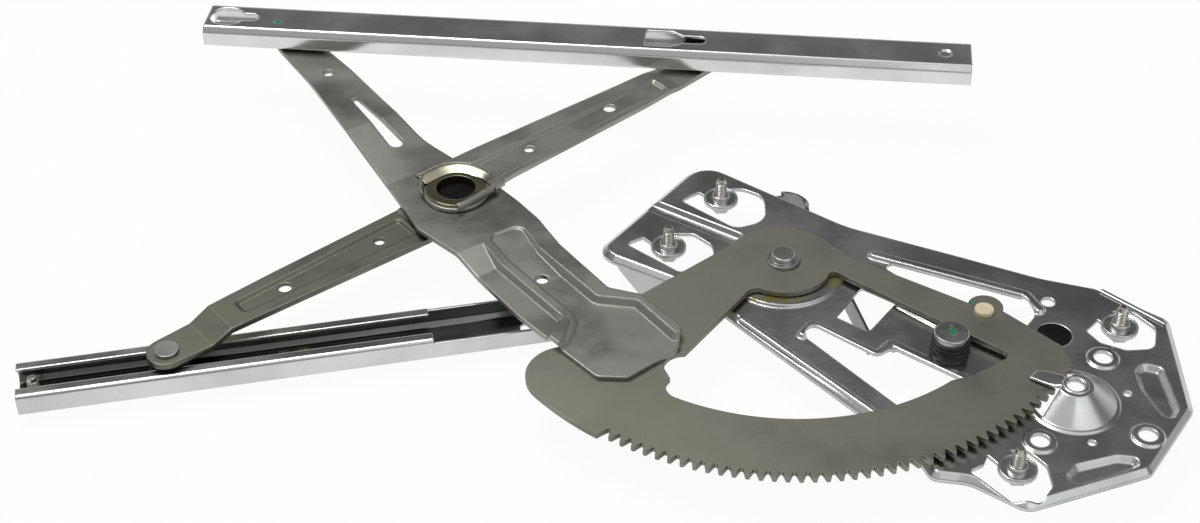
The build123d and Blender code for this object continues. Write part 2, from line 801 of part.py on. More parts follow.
def make_stop_post():
    under = plate_top - plate_thickness
    post = pillar(stop_axis, stop_neck_radius, under, stop_top - stop_cap_height)
    cap = pillar(stop_axis, stop_cap_radius, stop_top - stop_cap_height, stop_top)
    cap = chamfer(cap.edges().group_by(Axis.Z)[-1], 0.6)
    return post + cap + pillar(stop_axis, stop_neck_radius + 2.5, under - 2.0, under)


def make_stop_bumper():
    top = stop_top - stop_cap_height
    body = pillar(stop_axis, bumper_neck_radius, plate_top, top)
    foot = Cone(bumper_foot_radius, bumper_neck_radius, 3.0)
    body += Pos(stop_axis.X, stop_axis.Y, plate_top + 1.5) * foot
    for level in range(3):
        rib_top = top - 0.2 - 2.4 * level
        body += pillar(stop_axis, bumper_neck_radius + bumper_rib, rib_top - 1.0, rib_top)
    return body - pillar(stop_axis, stop_neck_radius, -30, 30)


def make_plate_plug():
    under = plate_top - plate_thickness
    return pillar(plug_axis, 9.0, under, plate_top) + pillar(plug_axis, 11.0, under - 1.0, under)


def make_rear_strap():
    """Strip on edge behind the plate: a straight leg and a hook."""
    top = plate_top - plate_thickness
    leg = Line((41.0, -53.2), (18.0, 52.0))
    hook = ThreePointArc((18.0, 52.0), (12.0, 67.2), (-2.0, 66.5))
    path = Wire(leg.edges() + hook.edges())
    strap = extrude(Pos(0, 0, top - strap_drop) * trace(path, strap_thickness), strap_drop)
    return strap - slab(band((-38.5, 97.5), (38.4, 37.6), 9.0), top, rim_drop + slide_gap)


def make_screw(axis, seat, thickness, neck_top, tip):
    """Flange screw with its head under the sheet, its neck in the sheet and its thread standing up."""
    under = seat - thickness
    screw = pillar(axis, screw_radius, neck_top - 1, tip)
    screw = chamfer(screw.edges().group_by(Axis.Z)[-1], 0.8)
    screw += pillar(axis, screw_neck_radius, under, neck_top)
    screw += pillar(axis, screw_flange_radius, under - screw_flange_height, under)
    place = Pos(axis.X, axis.Y, under - screw_flange_height - hex_height)
    return screw + place * extrude(RegularPolygon(hex_radius, 6), hex_height)


def make_mounting_screws():
    neck_top = plate_top + collar_height
    return [make_screw(axis, plate_top, plate_thickness, neck_top, screw_tip) for axis in screw_axes]


def make_rail_screws():
    axis = lower_end + polar(rail_screw_place, lower_rail_angle)
    seat = lower_web_bottom + rail_thickness
    return [make_screw(axis, seat, rail_thickness, seat, seat + rail_screw_rise)]


pieces = {
    "mounting_plate": [make_mounting_plate()],
    "mounting_screws": make_mounting_screws(),
    "pivot_rivet": [make_pivot_rivet()],
    "pivot_washer": [make_pivot_washer()],
    "stop_post": [make_stop_post()],
    "stop_bumper": [make_stop_bumper()],
    "plate_plug": [make_plate_plug()],
    "rear_strap": [make_rear_strap()],
    "lower_rail": [make_lower_rail()],
    "rail_screws": make_rail_screws(),
    "sector_gear": [make_sector_gear()],
    "lift_arm": [make_lift_arm()],
    "guide_button": [make_guide_button()],
    "upper_left_shoe_pin": [make_upper_pin(left_end, arm_thickness)],
    "upper_balance_arm": [make_upper_balance_arm()],
    "lower_balance_arm": [make_lower_balance_arm()],
    "cross_rivet": [make_cross_rivet()],
    "cross_bush": [make_cross_bush()],
    "upper_right_shoe_pin": [make_upper_pin(right_end, balance_thickness)],
    "lower_shoe_pin": [make_lower_pin()],
    "upper_left_shoe": [make_upper_shoe(left_end)],
    "upper_right_shoe": [make_upper_shoe(right_end)],
    "lower_shoe": [make_lower_shoe()],
    "upper_rail": [make_upper_rail()],
}

# Stand the whole on the middle of its base
boxes = [solid.bounding_box() for solids in pieces.values() for solid in solids]
middle_x = (min(box.min.X for box in boxes) + max(box.max.X for box in boxes)) / 2
middle_y = (min(box.min.Y for box in boxes) + max(box.max.Y for box in boxes)) / 2
bottom = min(box.min.Z for box in boxes)
stand = Pos(-middle_x, -middle_y, -bottom)

os.makedirs("parts", exist_ok=True)
for node, solids in pieces.items():
    placed = [stand * solid for solid in solids]
    export_step(placed[0] if len(placed) == 1 else Compound(children=placed), "parts/" + node + ".step")
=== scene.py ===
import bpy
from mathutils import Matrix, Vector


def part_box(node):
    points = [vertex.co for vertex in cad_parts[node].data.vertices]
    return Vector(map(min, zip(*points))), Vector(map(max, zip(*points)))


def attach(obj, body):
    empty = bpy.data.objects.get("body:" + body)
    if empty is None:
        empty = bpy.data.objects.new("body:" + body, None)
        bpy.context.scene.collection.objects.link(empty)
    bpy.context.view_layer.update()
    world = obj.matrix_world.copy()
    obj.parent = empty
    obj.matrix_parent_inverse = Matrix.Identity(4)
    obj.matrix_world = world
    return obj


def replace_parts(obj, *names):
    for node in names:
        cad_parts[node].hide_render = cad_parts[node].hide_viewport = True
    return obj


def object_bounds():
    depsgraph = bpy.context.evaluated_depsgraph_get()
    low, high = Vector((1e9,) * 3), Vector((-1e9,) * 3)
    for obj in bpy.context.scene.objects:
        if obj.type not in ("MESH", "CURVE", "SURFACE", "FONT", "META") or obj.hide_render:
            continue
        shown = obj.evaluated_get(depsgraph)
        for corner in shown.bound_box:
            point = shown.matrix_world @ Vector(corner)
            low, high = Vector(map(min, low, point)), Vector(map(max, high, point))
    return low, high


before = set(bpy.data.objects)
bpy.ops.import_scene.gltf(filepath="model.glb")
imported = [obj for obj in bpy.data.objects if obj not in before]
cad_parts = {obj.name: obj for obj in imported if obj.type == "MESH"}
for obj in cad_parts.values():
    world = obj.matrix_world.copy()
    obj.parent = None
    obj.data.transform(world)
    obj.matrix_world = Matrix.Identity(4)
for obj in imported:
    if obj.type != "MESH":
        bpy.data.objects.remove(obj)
cad_box = [list(corner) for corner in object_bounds()]

import math
import bmesh
import bpy
from mathutils import Matrix, Vector

# Places are measured in mm from the sector's pivot, and heights in mm from the sector's upper face
MM = 0.001
washer_low, washer_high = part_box("pivot_washer")
PIVOT = (Vector(washer_low) + Vector(washer_high)) / 2
GEAR_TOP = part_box("sector_gear")[1][2]


def at(x, y, z=0.0):
    """A measured place, in the frame's metres."""
    return Vector((PIVOT.x + x * MM, PIVOT.y + y * MM, GEAR_TOP + z * MM))


def around(centre, radius, angle, z):
    """The place at a radius and an angle in radians round a centre, in the frame's metres."""
    return at(centre[0] + radius * math.cos(angle), centre[1] + radius * math.sin(angle), z)


# Centres of the screws, the stop post, the dome's hole and the crossing's rivet
PLATE_SCREWS = ((-29.4, 61.8), (-59.7, 19.6), (168.5, -49.8), (99.6, -151.6))
RAIL_SCREW = (-382.9, -74.7)
STOP = (79.13, -66.87)
DOME = (134.012, -106.216)
CROSSING = (-174.74, 54.36)

# Directions along the upper balance arm and to its left
ARM_LEAN = math.radians(41.0)
ALONG = (math.cos(ARM_LEAN), math.sin(ARM_LEAN))
ACROSS = (-math.sin(ARM_LEAN), math.cos(ARM_LEAN))


def on_balance_arm(distance, left):
    """The place at a distance along the upper balance arm from the crossing, and to the left of it."""
    x = CROSSING[0] + distance * ALONG[0] + left * ACROSS[0]
    y = CROSSING[1] + distance * ALONG[1] + left * ACROSS[1]
    return x, y


# Node trees

# Sockets of a Mix node that mixes colours
MIX_A, MIX_B, MIX_RESULT = 6, 7, 2


class Nodes:
    """Short names for building a node tree."""

    def __init__(self, tree, output, coordinates):
        self.tree = tree
        self.tree.nodes.clear()
        self.output = self.add(output)
        self.place = self.add("ShaderNodeTexCoord").outputs[coordinates]

    def add(self, kind, **settings):
        node = self.tree.nodes.new(kind)
        for name, value in settings.items():
            setattr(node, name, value)
        return node

    def feed(self, target, value):
        """Link an input to another node's output, or set it to a plain value."""
        if isinstance(value, bpy.types.NodeSocket):
            self.tree.links.new(value, target)
        else:
            target.default_value = value

    def noise(self, scale, detail=3.0, roughness=0.55, stretch=(1, 1, 1), turn=0.0):
        mapping = self.add("ShaderNodeMapping")
        self.feed(mapping.inputs["Vector"], self.place)
        self.feed(mapping.inputs["Rotation"], (0, 0, turn))
        self.feed(mapping.inputs["Scale"], stretch)
        node = self.add("ShaderNodeTexNoise")
        self.feed(node.inputs["Vector"], mapping.outputs[0])
        self.feed(node.inputs["Scale"], scale)
        self.feed(node.inputs["Detail"], detail)
        self.feed(node.inputs["Roughness"], roughness)
        return node.outputs["Fac"]

    def span(self, value, low, high, to_low=0.0, to_high=1.0):
        """A smooth step from one span of values to another."""
        node = self.add("ShaderNodeMapRange", interpolation_type="SMOOTHSTEP")
        self.feed(node.inputs["Value"], value)
        self.feed(node.inputs["From Min"], low)
        self.feed(node.inputs["From Max"], high)
        self.feed(node.inputs["To Min"], to_low)
        self.feed(node.inputs["To Max"], to_high)
        return node.outputs[0]

    def math(self, kind, a, b=0.0):
        node = self.add("ShaderNodeMath", operation=kind)
        self.feed(node.inputs[0], a)
        self.feed(node.inputs[1], b)
        return node.outputs[0]

    def vector(self, kind, a, b=(0, 0, 0), output="Vector"):
        node = self.add("ShaderNodeVectorMath", operation=kind)
        self.feed(node.inputs[0], a)
        self.feed(node.inputs[1], b)
        return node.outputs[output]

    def mix(self, factor, a, b):
        """Colour a where the factor is 0, and colour b where it is 1."""
        node = self.add("ShaderNodeMix", data_type="RGBA")
        self.feed(node.inputs[0], factor)
        for index, value in ((MIX_A, a), (MIX_B, b)):
            is_socket = isinstance(value, bpy.types.NodeSocket)
            self.feed(node.inputs[index], value if is_socket else (*value, 1.0))
        return node.outputs[MIX_RESULT]


# Materials

# Scales of the patterns, in cells over a metre
CLOUDS = 22.0
DRAWN_GRAIN = 60.0
FINE_GRAIN = 900.0
SCRATCHES = 35.0
PITS = 800.0
MARK_EDGES = 400.0
MOULD_CLOUDS = 60.0
MOULD_GRAIN = 700.0

# How much finer the grain and the scratches are across the metal than along it
GRAIN_STRETCH = (1, 14, 14)
SCRATCH_STRETCH = (1, 22, 22)

# Spans of a noise's values: where most of them lie, and its peaks that show as scratches and as pits
MIDDLE = (0.3, 0.7)
SCRATCH_PEAKS = (0.63, 0.72)
PIT_PEAKS = (0.66, 0.8)

# How strongly scratches, pits and the painted shade inside the channel show over the metal's own colour
SCRATCH_SHOWS = 0.03
PIT_SHOWS = 0.6
SHADE_SHOWS = 0.8

# How far a mark's soft edge reaches in and how much it wanders, as shares of its radii
MARK_EDGE = 0.4
MARK_WOBBLE = 0.35

BEVEL_SAMPLES = 8


class Surface(Nodes):
    """A material of one principled shader, with patterns in the object's own coordinates."""

    def __init__(self, name):
        self.material = bpy.data.materials.new(name)
        self.material.use_nodes = True
        super().__init__(self.material.node_tree, "ShaderNodeOutputMaterial", "Object")
        self.shader = self.add("ShaderNodeBsdfPrincipled")
        self.feed(self.output.inputs["Surface"], self.shader.outputs[0])

    def set(self, socket, value):
        self.feed(self.shader.inputs[socket], value)

    def near(self, place, radii):
        """1 inside an ellipsoid about a place, 0 outside, with an uneven edge; the radii are in mm."""
        offset = self.vector("SUBTRACT", self.place, place)
        share = self.vector("DIVIDE", offset, [radius * MM for radius in radii])
        distance = self.vector("LENGTH", share, output="Value")
        wander = self.span(self.noise(MARK_EDGES, 2.0), *MIDDLE, -MARK_WOBBLE, MARK_WOBBLE)
        return self.span(self.math("ADD", distance, wander), 1.0 - MARK_EDGE, 1.0, 1.0, 0.0)

    def inside_channel(self, place, turn, half_width, low, high):
        """1 within a straight channel through a place, by its half width and its heights in mm."""
        offset = self.vector("SUBTRACT", self.place, place)
        leftward = (-math.sin(turn), math.cos(turn), 0)
        left = self.vector("DOT_PRODUCT", offset, leftward, output="Value")
        up = self.vector("DOT_PRODUCT", offset, (0, 0, 1), output="Value")
        within = self.math("LESS_THAN", self.math("ABSOLUTE", left), half_width * MM)
        above = self.math("GREATER_THAN", up, low * MM)
        below = self.math("LESS_THAN", up, high * MM)
        return self.math("MULTIPLY", within, self.math("MULTIPLY", above, below))

    def relief(self, rows, radius):
        """Edges rounded to a radius in mm, and relief from (height, strength, distance in mm) rows."""
        bevel = self.add("ShaderNodeBevel", samples=BEVEL_SAMPLES)
        self.feed(bevel.inputs["Radius"], radius * MM)
        normal = bevel.outputs[0]
        for height, strength, distance in rows:
            bump = self.add("ShaderNodeBump")
            self.feed(bump.inputs["Strength"], strength)
            self.feed(bump.inputs["Distance"], distance * MM)
            self.feed(bump.inputs["Height"], height)
            self.feed(bump.inputs["Normal"], normal)
            normal = bump.outputs[0]
        self.set("Normal", normal)


def steel(
        name, colour, tint, rough, radius,
        turn=0.0, cloud=0.3, grain=0.012, pits=0.0, marks=(), channel=None):
    """Metal with cloudy tone, fine drawn grain, faint scratches, pits and, in places, paint, dark dabs of
    painted shade and painted shade inside a channel.

    The radius of its edges is in mm. Its grain runs at turn, in radians. A mark is a place, its radii in
    mm, its colour, its roughness and how metallic it is.
    """
    n = Surface(name)
    clouds = n.noise(CLOUDS, 4.0)
    fine = n.noise(FINE_GRAIN, 2.0)
    drawn = n.noise(DRAWN_GRAIN, 3.0, stretch=GRAIN_STRETCH, turn=turn)
    scratches = n.noise(SCRATCHES, 5.0, 0.7, stretch=SCRATCH_STRETCH, turn=turn + 0.5)

    base = n.mix(n.span(clouds, *MIDDLE), colour, tint)
    scratched = n.math("MULTIPLY", n.span(scratches, *SCRATCH_PEAKS), SCRATCH_SHOWS)
    base = n.mix(scratched, base, [min(1.0, part * 1.35) for part in colour])
    if pits:
        spots = n.math("MULTIPLY", n.span(n.noise(PITS, 2.0), *PIT_PEAKS), n.span(clouds, 0.35, 0.6))
        base = n.mix(n.math("MULTIPLY", spots, pits * PIT_SHOWS), base, [part * 0.3 for part in colour])
    # Painted shade: the inside of the channel darkened nearly to black
    if channel:
        painted_channel_shade = n.math("MULTIPLY", n.inside_channel(*channel), SHADE_SHOWS)
        base = n.mix(painted_channel_shade, base, [part * 0.12 for part in tint])

    cloudy_rough = n.span(clouds, *MIDDLE, rough - cloud * rough, rough + cloud * rough)
    roughness = n.math("ADD", cloudy_rough, n.span(drawn, *MIDDLE, -0.012, 0.012))
    metallic = 1.0
    for place, radii, mark_colour, mark_rough, mark_metal in marks:
        mask = n.near(place, radii)
        base = n.mix(mask, base, mark_colour)
        kept_rough = n.math("MULTIPLY", roughness, n.math("SUBTRACT", 1.0, mask))
        roughness = n.math("ADD", kept_rough, n.math("MULTIPLY", mask, mark_rough))
        metallic = n.math("SUBTRACT", metallic, n.math("MULTIPLY", mask, 1.0 - mark_metal))

    n.set("Base Color", base)
    n.set("Roughness", roughness)
    n.set("Metallic", metallic)
    n.relief([(clouds, 0.02, 0.5), (drawn, grain, 0.03), (fine, grain * 3, 0.03)], radius)
    return n.material


def moulded(name, colour, tint, rough, subsurface=0.0, specular=0.5):
    """Plastic or rubber with a slight tone change and a fine moulded surface."""
    n = Surface(name)
    fine = n.noise(MOULD_GRAIN, 3.0)
    n.set("Base Color", n.mix(n.span(n.noise(MOULD_CLOUDS, 3.0), *MIDDLE), colour, tint))
    n.set("Roughness", n.span(fine, *MIDDLE, rough - 0.08, rough + 0.08))
    n.set("Specular IOR Level", specular)
    n.set("Subsurface Weight", subsurface)
    n.set("Subsurface Radius", (0.002, 0.0015, 0.001))
    n.relief([(fine, 0.2, 0.04)], 0.5)
    return n.material


GREEN = (0.0, 0.17, 0.075)
# Dark yellowish colour of painted shade: the shadow under the sector's edge on the plate, and the shade in
# the lower rail's channel
PAINTED_SHADE = (0.30, 0.27, 0.10)


def paint(place, radii):
    """A dab of green paint, as a mark for steel."""
    return (place, radii, GREEN, 0.4, 0.0)


def painted_shade_dab(place, radii, metal):
    """A dark dab of painted shade, as a mark for steel."""
    return (place, radii, PAINTED_SHADE, 0.3, metal)


# Lower rail's channel, whose inside is darkened as painted shade: a place on its floor, its lean in
# radians, and in mm its half width and two heights
GUIDE_CHANNEL = (at(-317.4, -61.9, -23.5), 0.1927, 12.7, 1.3, 11.6)

# Sheet metal: light zinc on the plate and rails, darker bare steel on the arms and the sector
# The plate's two dark dabs are painted shadow, where the sector's edge overhangs the plate
plate_metal = steel(
    "plate_metal", (0.64, 0.65, 0.64), (0.52, 0.53, 0.52), 0.24, 1.3,
    marks=[painted_shade_dab(at(-6, -27, -4), (15, 3.5, 2), 0.7), painted_shade_dab(at(26, -13, -4), (5, 7, 2), 0.7)])
rail_metal = steel(
    "rail_metal", (0.76, 0.765, 0.76), (0.66, 0.665, 0.66), 0.22, 1.4, turn=0.113,
    marks=[paint(at(-287, 199.5, 25.5), (3.2, 2.4, 2))])
# The lower rail's two dark dabs are painted shade on its channel's floor, and the inside of its channel is
# darkened as painted shade too
guide_metal = steel(
    "guide_metal", (0.66, 0.665, 0.66), (0.56, 0.565, 0.56), 0.22, 1.2, turn=-0.19,
    marks=[painted_shade_dab(at(-285, -58, -22), (30, 5, 4), 0.6), painted_shade_dab(at(-240, -44, -22), (22, 4, 4), 0.6)],
    channel=GUIDE_CHANNEL)
arm_metal = steel("arm_metal", (0.35, 0.345, 0.315), (0.28, 0.275, 0.25), 0.41, 1.4, turn=0.6, pits=0.35)
balance_metal = steel(
    "balance_metal", (0.37, 0.37, 0.34), (0.29, 0.29, 0.26), 0.4, 1.3, turn=-0.7, pits=0.25)
lower_arm_metal = steel(
    "lower_arm_metal", (0.22, 0.217, 0.18), (0.165, 0.162, 0.13), 0.4, 1.3, turn=-0.7, pits=0.35)
gear_metal = steel(
    "gear_metal", (0.285, 0.28, 0.235), (0.23, 0.225, 0.185), 0.48, 0.35, cloud=0.2, grain=0.06, pits=0.6,
    marks=[paint(at(93.5, -35.5, 0), (2.0, 2.6, 1.2))])
strap_metal = steel("strap_metal", (0.30, 0.31, 0.32), (0.22, 0.23, 0.24), 0.25, 0.3)
roll_metal = steel("roll_metal", (0.58, 0.55, 0.43), (0.48, 0.45, 0.33), 0.24, 0.4)

# Rivets, post and screws
rivet_metal = steel("rivet_metal", (0.52, 0.52, 0.50), (0.42, 0.42, 0.40), 0.28, 0.5, pits=0.3)
post_metal = steel(
    "post_metal", (0.50, 0.50, 0.49), (0.42, 0.42, 0.41), 0.3, 0.5, pits=0.4,
    marks=[paint(at(STOP[0] + 0.5, STOP[1] + 0.5, 7), (1.8, 5.0, 2))])
screw_metal = steel("screw_metal", (0.56, 0.55, 0.50), (0.42, 0.41, 0.36), 0.25, 0.2)
yellow_metal = steel("yellow_metal", (0.33, 0.31, 0.22), (0.25, 0.23, 0.15), 0.25, 0.5, pits=0.4)

# Rubber and nylon
bush_black = moulded("bush_black", (0.004, 0.004, 0.004), (0.007, 0.007, 0.006), 0.7, specular=0.1)
black_rubber = moulded("black_rubber", (0.012, 0.012, 0.012), (0.02, 0.02, 0.02), 0.45)
cream_nylon = moulded("cream_nylon", (0.70, 0.62, 0.42), (0.62, 0.54, 0.35), 0.35, subsurface=0.2)
black_nylon = moulded("black_nylon", (0.010, 0.010, 0.011), (0.016, 0.016, 0.017), 0.38)

looks = {
    "mounting_plate": plate_metal,
    "mounting_screws": screw_metal,
    "pivot_rivet": rivet_metal,
    "pivot_washer": rivet_metal,
    "stop_post": post_metal,
    "stop_bumper": black_rubber,
    "plate_plug": bush_black,
    "rear_strap": strap_metal,
    "lower_rail": guide_metal,
    "rail_screws": screw_metal,
    "sector_gear": gear_metal,
    "lift_arm": arm_metal,
    "guide_button": cream_nylon,
    "upper_left_shoe_pin": rivet_metal,
    "upper_balance_arm": balance_metal,
    "lower_balance_arm": lower_arm_metal,
    "cross_rivet": yellow_metal,
    "cross_bush": bush_black,
    "upper_right_shoe_pin": rivet_metal,
    "lower_shoe_pin": rivet_metal,
    "upper_left_shoe": black_nylon,
    "upper_right_shoe": black_nylon,
    "lower_shoe": black_nylon,
    "upper_rail": rail_metal,
}
for node, material in looks.items():
    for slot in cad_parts[node].material_slots:
        slot.material = material


# Forms

# Vertices nearer than this are one, edges sharper than this stay sharp, and a round has this many sides
WELD = 0.004 * MM
CREASE = math.radians(35.0)
ROUND_STEPS = 40


def piece(name, body, material, build):
    """A piece whose mesh is filled by a function, riding on a body."""
    form = bmesh.new()
    build(form)
    bmesh.ops.remove_doubles(form, verts=form.verts, dist=WELD)
    bmesh.ops.recalc_face_normals(form, faces=form.faces)
    mesh = bpy.data.meshes.new(name)
    form.to_mesh(mesh)
    form.free()
    mesh.materials.append(material)
    for face in mesh.polygons:
        face.use_smooth = True
    mesh.set_sharp_from_angle(angle=CREASE)
    thing = bpy.data.objects.new(name, mesh)
    bpy.context.collection.objects.link(thing)
    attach(thing, body)
    return thing


def skin(form, rows):
    """Faces between rows of places, each row a closed loop."""
    rings = [[form.verts.new(place) for place in row] for row in rows]
    for a, b in zip(rings, rings[1:]):
        for i in range(len(a)):
            j = (i + 1) % len(a)
            form.faces.new((a[i], a[j], b[j], b[i]))
    return rings


def capped(form, rows):
    """A closed solid: a skin over rows of places, with its first and last row as caps."""
    rings = skin(form, rows)
    form.faces.new(rings[0])
    form.faces.new(rings[-1])


def circles(centre, profile, steps):
    """A circle of places for each (radius, height) point in mm."""
    angles = [math.tau * i / steps for i in range(steps)]
    return [[around(centre, radius, angle, height) for angle in angles] for radius, height in profile]


def turned(form, centre, profile, steps=ROUND_STEPS):
    """A turned solid, from the profile on one side of its axis."""
    capped(form, circles(centre, profile, steps))


def ring(form, centre, profile):
    """A turned ring, from a profile that goes once round its section."""
    skin(form, circles(centre, profile + profile[:1], ROUND_STEPS))


def station(place, outward, section):
    """One row of a sweep: a section's (out, height) points in mm, at a place and along a direction."""
    return [at(place[0] + outward[0] * out, place[1] + outward[1] * out, height) for out, height in section]


# Screws, as M6 flange screws in mm
HEX_RADIUS = 5.5
HEX_SIDES = 6
HEX_CHAMFER = 0.8
HEAD_HEIGHT = 6.0
FLANGE_RADIUS = 8.5
SHANK_RADIUS = 3.25
THREAD_CREST = 3.0
THREAD_ROOT = 2.4
THREAD_PITCH = 1.0
THREAD_STEPS = 28

# Heights of the sheet's underside, of the thread's foot and of the tip
PLATE_SCREW_HEIGHTS = (-6.8, -2.4, 7.8)
RAIL_SCREW_HEIGHTS = (-23.5, -22.0, -10.0)


def thread(form, centre, low, high):
    """A helical thread between two heights, closed and a little sunk into its shank."""
    count = int((high - low - THREAD_PITCH) / THREAD_PITCH * THREAD_STEPS)
    section = ((THREAD_ROOT, 0.02), (THREAD_CREST, 0.42), (THREAD_CREST, 0.58), (THREAD_ROOT, 0.98))
    rows = []
    for i in range(count + 1):
        angle = math.tau * i / THREAD_STEPS
        turns = i / THREAD_STEPS
        heights = [(radius, low + THREAD_PITCH * (turns + rise)) for radius, rise in section]
        rows.append([around(centre, radius, angle, height) for radius, height in heights])
    capped(form, rows)


def screw(form, centre, under, foot, tip):
    """Flange screw: hexagon and flange below the sheet, threaded shank above it."""
    end = under - HEAD_HEIGHT
    hexagon = [
        (0.5, end), (HEX_RADIUS - HEX_CHAMFER, end), (HEX_RADIUS, end + HEX_CHAMFER),
        (HEX_RADIUS, under - 2.4)]
    flange = [
        (6.2, under - 2.6), (6.9, under - 2.2), (FLANGE_RADIUS - 0.2, under - 1.2),
        (FLANGE_RADIUS, under - 0.8), (FLANGE_RADIUS, under - 0.1), (FLANGE_RADIUS - 0.2, under)]
    shank = [
        (SHANK_RADIUS, under - 1), (SHANK_RADIUS, foot), (2.5, foot + 0.6), (2.45, tip - 1.9),
        (2.2, tip - 1.5), (2.1, tip - 0.4), (1.7, tip)]
    turned(form, centre, hexagon, HEX_SIDES)
    turned(form, centre, flange)
    turned(form, centre, shank)
    thread(form, centre, foot, tip - 1.7)


def plate_screws(form):
    for centre in PLATE_SCREWS:
        screw(form, centre, *PLATE_SCREW_HEIGHTS)


def rail_screw(form):
    screw(form, RAIL_SCREW, *RAIL_SCREW_HEIGHTS)


# Pressed details of the plate


def tab_rims(form):
    """Pressed ring round each screw's tab, and the small lip at the thread."""
    pressed = [(9.4, -5.15), (9.3, -4.6), (8.9, -4.3), (8.4, -4.35), (8.0, -5.15)]
    lip = [(4.9, -4.9), (4.8, -2.9), (4.4, -2.2), (3.9, -2.1), (3.45, -2.5), (3.45, -4.9)]
    for centre in PLATE_SCREWS:
        ring(form, centre, pressed)
        ring(form, centre, lip)


def dome_rim(form):
    """Rolled lip of the dome's hole."""
    lip = [(6.9, 5.6), (6.6, 6.2), (6.0, 6.6), (5.3, 6.6), (4.7, 6.3), (4.36, 5.6), (4.36, 4.4), (4.8, 4.4)]
    ring(form, DOME, lip)


def dome_tab(form):
    """Torn edge of the dome that reaches over the sector's teeth."""
    thickness = 1.2
    outline = (
        (113.6, -95.4, 1.9), (118.0, -90.9, 2.1), (122.6, -91.9, 2.8), (129.5, -97.0, 4.6),
        (131.0, -101.5, 5.9), (128.2, -106.0, 5.9), (124.0, -103.6, 3.2), (119.5, -99.8, 2.4))
    upper = [at(x, y, height) for x, y, height in outline]
    lower = [at(x, y, height - thickness) for x, y, height in outline]
    capped(form, [upper, lower])


def edge_fold(form):
    """Turned-up edge at the plate's upper right corner."""
    start, end = (165.0, -21.2), (192.6, -48.3)
    run = math.dist(start, end)
    outward = ((start[1] - end[1]) / run, (end[0] - start[0]) / run)
    section = [
        (-3.0, -5.3), (-2.7, -4.5), (-2.0, -3.9), (-1.0, -3.6), (0.0, -3.9), (0.7, -4.6), (0.9, -5.8)]
    capped(form, [station(place, outward, section) for place in (start, end)])


# Rolled edges of the upper balance arm, at the crossing

# The roll sweeps round the ring between two angles in degrees, then runs straight on along the arm
ROLL_RADIUS = 22.4
ROLL_START = -8.0
ROLL_SWEEP = 139.0
ROLL_STEPS = 40
TAIL_STEPS = 7
TAIL_STEP = 1.5

# It curls in fully at one angle, less and less towards another, and never less than a share
CURL_FULL = 50.0
CURL_NONE = -25.0
CURL_LEAST = 0.25


def crossing_roll(form):
    """Rolled wall that curls over the crossing's ring, round on its right and cut off on its left."""
    section = [
        (22.3, 8.5), (22.4, 9.9), (21.9, 11.2), (20.8, 11.9), (19.3, 12.0), (17.7, 11.7),
        (16.0, 11.1), (14.4, 10.4), (13.0, 9.9), (14.5, 9.8), (16.2, 10.3), (17.9, 10.9),
        (19.4, 11.1), (20.5, 10.9), (21.2, 10.1), (21.4, 8.5)]
    rows = []
    for i in range(ROLL_STEPS + 1):
        degrees = ROLL_START + ROLL_SWEEP * i / ROLL_STEPS
        share = (degrees - CURL_NONE) / (CURL_FULL - CURL_NONE)
        curl = min(1.0, max(CURL_LEAST, share))
        curled = [(ROLL_RADIUS - (ROLL_RADIUS - out) * curl, height) for out, height in section]
        rows.append([around(CROSSING, out, math.radians(degrees), height) for out, height in curled])
    for i in range(1, TAIL_STEPS + 1):
        rows.append(station(on_balance_arm(-TAIL_STEP * i, 0), ACROSS, section))
    capped(form, rows)


def front_lip(form):
    """Rolled front edge of the upper balance arm, which runs on past the crossing's ring."""
    section = [
        (-1.5, 8.6), (-1.4, 11.0), (-0.9, 11.9), (0.0, 12.2), (0.9, 12.0), (1.4, 11.3),
        (1.3, 10.6), (0.7, 10.9), (0.0, 11.2), (-0.5, 10.8), (-0.6, 8.6)]
    edge = ((-11, -15.0), (-7, -15.5), (-2, -15.6), (4, -15.3), (12, -14.7), (22, -13.9))
    capped(form, [station(on_balance_arm(*place), ACROSS, section) for place in edge])


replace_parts(piece("plate_screw_set", "base", screw_metal, plate_screws), "mounting_screws")
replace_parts(piece("rail_screw_set", "base", screw_metal, rail_screw), "rail_screws")
piece("tab_rims", "base", plate_metal, tab_rims)
piece("hole_rims", "base", plate_metal, dome_rim)
piece("edge_fold", "base", strap_metal, edge_fold)
piece("dome_tab", "base", plate_metal, dome_tab)
piece("crossing_roll", "balance", roll_metal, crossing_roll)
piece("front_lip", "balance", balance_metal, front_lip)


# Studio, with its sizes and places in metres

FLOOR_HALF = 4.0
FLOOR_GAP = 0.2 * MM

# How much of the floor's plain white the camera and the reflections see
WHITE_TO_CAMERA = 0.95
WHITE_IN_METAL = 0.7

# Brightness of the surroundings by height, from 0 at the horizon and below it to 1 straight up
REAR_SKY = ((0.0, 0.9), (0.30, 0.6), (0.46, 0.16), (0.62, 0.07), (0.74, 0.10), (0.86, 0.45), (1.0, 1.0))
FRONT_SKY = ((0.0, 0.95), (0.12, 0.62), (0.28, 0.26), (0.5, 0.22), (0.72, 0.42), (1.0, 0.9))


